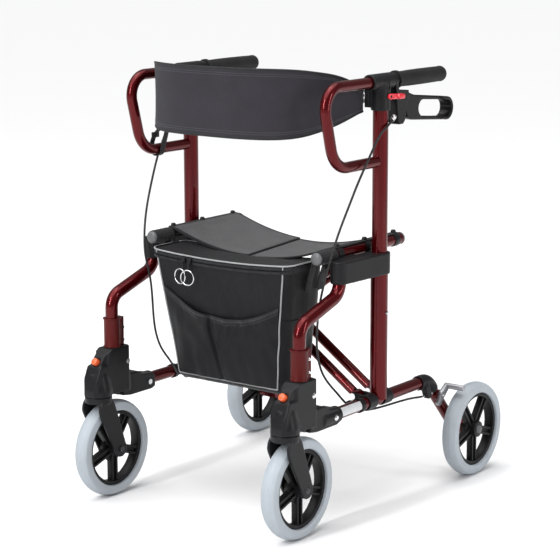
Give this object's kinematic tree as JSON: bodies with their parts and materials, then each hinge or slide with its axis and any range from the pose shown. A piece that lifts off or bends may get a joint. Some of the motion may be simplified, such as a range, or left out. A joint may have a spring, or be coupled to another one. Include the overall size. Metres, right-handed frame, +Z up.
{
  "type": "rollator walker",
  "caption": "Folding four-wheeled walking aid with hand brakes, swivel casters, sling seat, front bag and padded backrest band.",
  "frame": {"origin": "on the ground, at the middle of the footprint of the four wheels", "axes": "+Z up, -Y to the front (the casters), +X to the user's left"},
  "size_m": [0.6128, 0.76, 0.89],
  "materials": {
    "frame_red": "candy red gloss paint",
    "sleeve_red": "brick red satin paint",
    "black_plastic": "moulded satin black",
    "lever_black": "smooth black nylon",
    "orange_plastic": "orange gloss",
    "red_plastic": "bright red gloss",
    "chrome_steel": "zinc and chrome plated",
    "brake_steel": "brushed grey steel",
    "grip_rubber": "matt black rubber",
    "cable_black": "satin cable sheath",
    "rim_black": "moulded black nylon",
    "tyre_grey": "light grey solid rubber",
    "seat_mesh": "grey woven mesh",
    "bag_nylon": "black woven nylon",
    "band_fabric": "charcoal woven fabric"
  },
  "bodies": {
    "left_frame": {"left_side_frame": "frame_red", "left_rear_leg": "frame_red", "left_rail_elbow": "black_plastic", "left_front_leg": "frame_red", "left_leg_sleeve": "sleeve_red", "left_seat_clamp": "black_plastic", "left_caster_housing": "black_plastic", "left_frame_bolts": "chrome_steel", "left_pivot_lugs": "black_plastic", "left_brake_spring": "chrome_steel", "left_brake_cable": "cable_black", "storage_bag": "bag_nylon"},
    "brace_a": {"brace_a": "frame_red", "brace_bolts": "chrome_steel", "seat_sling": "seat_mesh"},
    "brace_b": {"brace_b": "frame_red"},
    "right_frame": {"right_side_frame": "frame_red", "right_rear_leg": "frame_red", "right_rail_elbow": "black_plastic", "right_front_leg": "frame_red", "right_leg_sleeve": "sleeve_red", "right_seat_clamp": "black_plastic", "right_caster_housing": "black_plastic", "right_frame_bolts": "chrome_steel", "right_pivot_lugs": "black_plastic", "right_brake_spring": "chrome_steel", "right_brake_cable": "cable_black"},
    "left_handle": {"left_handle_tube": "frame_red", "left_arm_loop": "frame_red", "left_handle_head": "black_plastic", "left_grip": "grip_rubber", "left_lever_housing": "black_plastic", "backrest_band": "band_fabric"},
    "left_lever": {"left_brake_lever": "lever_black"},
    "left_latch": {"left_lock_latch": "red_plastic"},
    "left_brake": {"left_brake_arm": "brake_steel"},
    "left_height_button": {"left_height_button": "chrome_steel"},
    "left_caster_button": {"left_caster_button": "orange_plastic"},
    "left_fork": {"left_caster_fork": "black_plastic", "left_caster_axle": "chrome_steel"},
    "left_caster_wheel": {"left_caster_rim": "rim_black", "left_caster_tyre": "tyre_grey"},
    "left_rear_wheel": {"left_rear_rim": "rim_black", "left_rear_tyre": "tyre_grey"},
    "right_handle": {"right_handle_tube": "frame_red", "right_arm_loop": "frame_red", "right_handle_head": "black_plastic", "right_grip": "grip_rubber", "right_lever_housing": "black_plastic"},
    "right_lever": {"right_brake_lever": "lever_black"},
    "right_latch": {"right_lock_latch": "red_plastic"},
    "right_brake": {"right_brake_arm": "brake_steel"},
    "right_height_button": {"right_height_button": "chrome_steel"},
    "right_caster_button": {"right_caster_button": "orange_plastic"},
    "right_fork": {"right_caster_fork": "black_plastic", "right_caster_axle": "chrome_steel"},
    "right_caster_wheel": {"right_caster_rim": "rim_black", "right_caster_tyre": "tyre_grey"},
    "right_rear_wheel": {"right_rear_rim": "rim_black", "right_rear_tyre": "tyre_grey"}
  },
  "joints": [
    {"name": "fold", "type": "hinge", "parent": "left_frame", "child": "brace_a", "pos_m": [0.212, 0, 0.23], "axis": [0, 1, 0], "range_deg": [0, 38], "deforming": ["storage_bag", "backrest_band", "seat_sling"]},
    {"name": "brace_cross", "type": "hinge", "parent": "brace_a", "child": "brace_b", "pos_m": [0, 0, 0.37977], "axis": [0, 1, 0], "range_deg": [-76, 0]},
    {"name": "right_upright", "type": "hinge", "parent": "brace_b", "child": "right_frame", "pos_m": [-0.212, 0, 0.23], "axis": [0, 1, 0], "range_deg": [0, 38]},
    {"name": "left_handle_height", "type": "slide", "parent": "left_frame", "child": "left_handle", "axis": [0, 0, 1], "range_m": [-0.075, 0.055], "deforming": ["left_brake_cable"]},
    {"name": "left_brake_squeeze", "type": "hinge", "parent": "left_handle", "child": "left_lever", "pos_m": [0.24, 0.058, 0.828], "axis": [1, 0, 0], "range_deg": [0, 11], "stiffness_Nm_per_rad": 1.2, "springref_deg": -22.92},
    {"name": "left_brake_shoe", "type": "hinge", "parent": "left_frame", "child": "left_brake", "pos_m": [0.24, 0.202, 0.186], "axis": [1, 0, 0], "range_deg": [-25, 0]},
    {"name": "left_lock_release", "type": "hinge", "parent": "left_handle", "child": "left_latch", "pos_m": [0.24, -0.01, 0.828], "axis": [1, 0, 0], "range_deg": [0, 22], "stiffness_Nm_per_rad": 0.2, "springref_deg": -11.46},
    {"name": "left_height_release", "type": "slide", "parent": "left_frame", "child": "left_height_button", "axis": [-1, 0, 0], "range_m": [0, 0.0018], "stiffness_N_per_m": 800, "springref_m": -0.001},
    {"name": "left_swivel_release", "type": "slide", "parent": "left_frame", "child": "left_caster_button", "axis": [0, 0.8572, -0.515], "range_m": [0, 0.003], "stiffness_N_per_m": 800, "springref_m": -0.001},
    {"name": "left_caster_swivel", "type": "hinge", "parent": "left_frame", "child": "left_fork", "pos_m": [0.236, -0.318, 0.21], "axis": [0, 0, 1], "continuous": true},
    {"name": "left_caster_roll", "type": "hinge", "parent": "left_fork", "child": "left_caster_wheel", "pos_m": [0.236, -0.28, 0.1], "axis": [1, 0, 0], "continuous": true},
    {"name": "left_rear_roll", "type": "hinge", "parent": "left_frame", "child": "left_rear_wheel", "pos_m": [0.287, 0.28, 0.1], "axis": [1, 0, 0], "continuous": true},
    {"name": "right_handle_height", "type": "slide", "parent": "right_frame", "child": "right_handle", "axis": [0, 0, 1], "range_m": [-0.075, 0.055], "deforming": ["right_brake_cable"]},
    {"name": "right_brake_squeeze", "type": "hinge", "parent": "right_handle", "child": "right_lever", "pos_m": [-0.24, 0.058, 0.828], "axis": [1, 0, 0], "range_deg": [0, 11], "stiffness_Nm_per_rad": 1.2, "springref_deg": -22.92},
    {"name": "right_brake_shoe", "type": "hinge", "parent": "right_frame", "child": "right_brake", "pos_m": [-0.24, 0.202, 0.186], "axis": [1, 0, 0], "range_deg": [-25, 0]},
    {"name": "right_lock_release", "type": "hinge", "parent": "right_handle", "child": "right_latch", "pos_m": [-0.24, -0.01, 0.828], "axis": [1, 0, 0], "range_deg": [0, 22], "stiffness_Nm_per_rad": 0.2, "springref_deg": -11.46},
    {"name": "right_height_release", "type": "slide", "parent": "right_frame", "child": "right_height_button", "axis": [1, 0, 0], "range_m": [0, 0.0018], "stiffness_N_per_m": 800, "springref_m": -0.001},
    {"name": "right_swivel_release", "type": "slide", "parent": "right_frame", "child": "right_caster_button", "axis": [0, 0.8572, -0.515], "range_m": [0, 0.003], "stiffness_N_per_m": 800, "springref_m": -0.001},
    {"name": "right_caster_swivel", "type": "hinge", "parent": "right_frame", "child": "right_fork", "pos_m": [-0.236, -0.318, 0.21], "axis": [0, 0, 1], "continuous": true},
    {"name": "right_caster_roll", "type": "hinge", "parent": "right_fork", "child": "right_caster_wheel", "pos_m": [-0.236, -0.28, 0.1], "axis": [1, 0, 0], "continuous": true},
    {"name": "right_rear_roll", "type": "hinge", "parent": "right_frame", "child": "right_rear_wheel", "pos_m": [-0.287, 0.28, 0.1], "axis": [1, 0, 0], "continuous": true}
  ],
  "couplings": [
    {"joint": "brace_cross", "follows": "fold", "ratio": -2},
    {"joint": "right_upright", "follows": "fold", "ratio": 1},
    {"joint": "right_handle_height", "follows": "left_handle_height", "ratio": 1},
    {"joint": "left_brake_shoe", "follows": "left_brake_squeeze", "ratio": -2.2727},
    {"joint": "right_brake_shoe", "follows": "right_brake_squeeze", "ratio": -2.2727}
  ]
}
